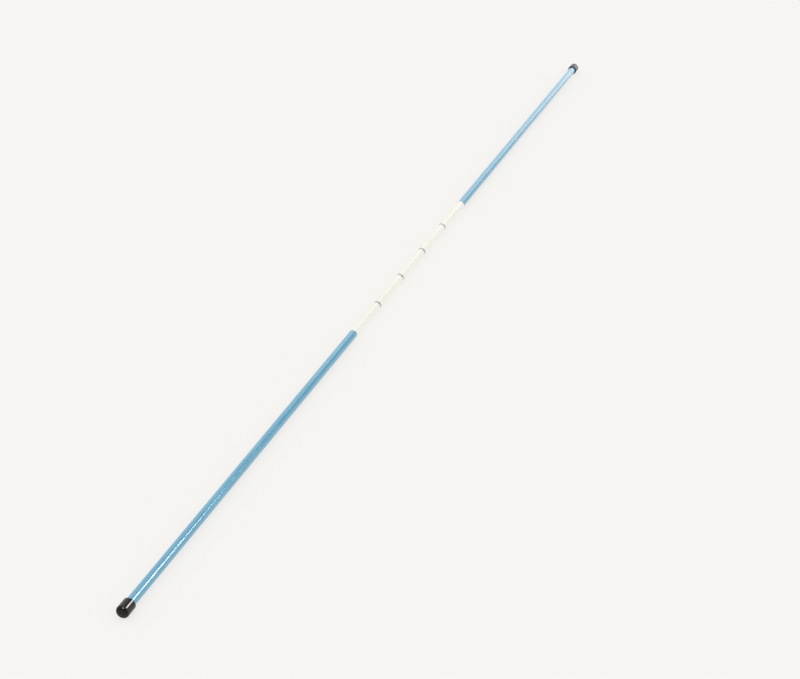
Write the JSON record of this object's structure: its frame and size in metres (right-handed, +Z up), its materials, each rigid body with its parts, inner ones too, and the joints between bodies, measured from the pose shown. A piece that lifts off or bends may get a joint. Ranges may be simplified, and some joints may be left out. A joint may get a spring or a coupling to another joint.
{
  "type": "golf alignment stick",
  "caption": "Straight round rod laid on the ground to show a golfer's aim and ball position, with a white banded middle and a push-on cap at each end.",
  "frame": {"origin": "on the ground, halfway along the stick, straight under its axis", "axes": "+X along the stick towards the right end cap, +Z up from the ground it lies on, +Y across it"},
  "size_m": [1.2192, 0.0104, 0.0105],
  "materials": {
    "fibreglass": "bare glass-fibre and resin rod, fine lengthwise fibre lines, cut and chamfered ends",
    "blue_plastic": "smooth glossy extruded plastic sleeve, light blue",
    "white_wrap": "satin white vinyl wrap",
    "black_vinyl": "glossy dip-moulded black vinyl"
  },
  "bodies": {
    "stick": {"core_rod": "fibreglass", "blue_sleeve": "blue_plastic", "white_band_1": "white_wrap", "white_band_2": "white_wrap", "white_band_3": "white_wrap", "white_band_4": "white_wrap", "white_band_5": "white_wrap"},
    "left_cap": {"left_end_cap": "black_vinyl"},
    "right_cap": {"right_end_cap": "black_vinyl"}
  },
  "joints": [
    {"name": "left_cap_pull", "type": "slide", "parent": "stick", "child": "left_cap", "axis": [-1, 0, 0], "range_m": [0, 0.025]},
    {"name": "right_cap_pull", "type": "slide", "parent": "stick", "child": "right_cap", "axis": [1, 0, 0], "range_m": [0, 0.025]}
  ]
}
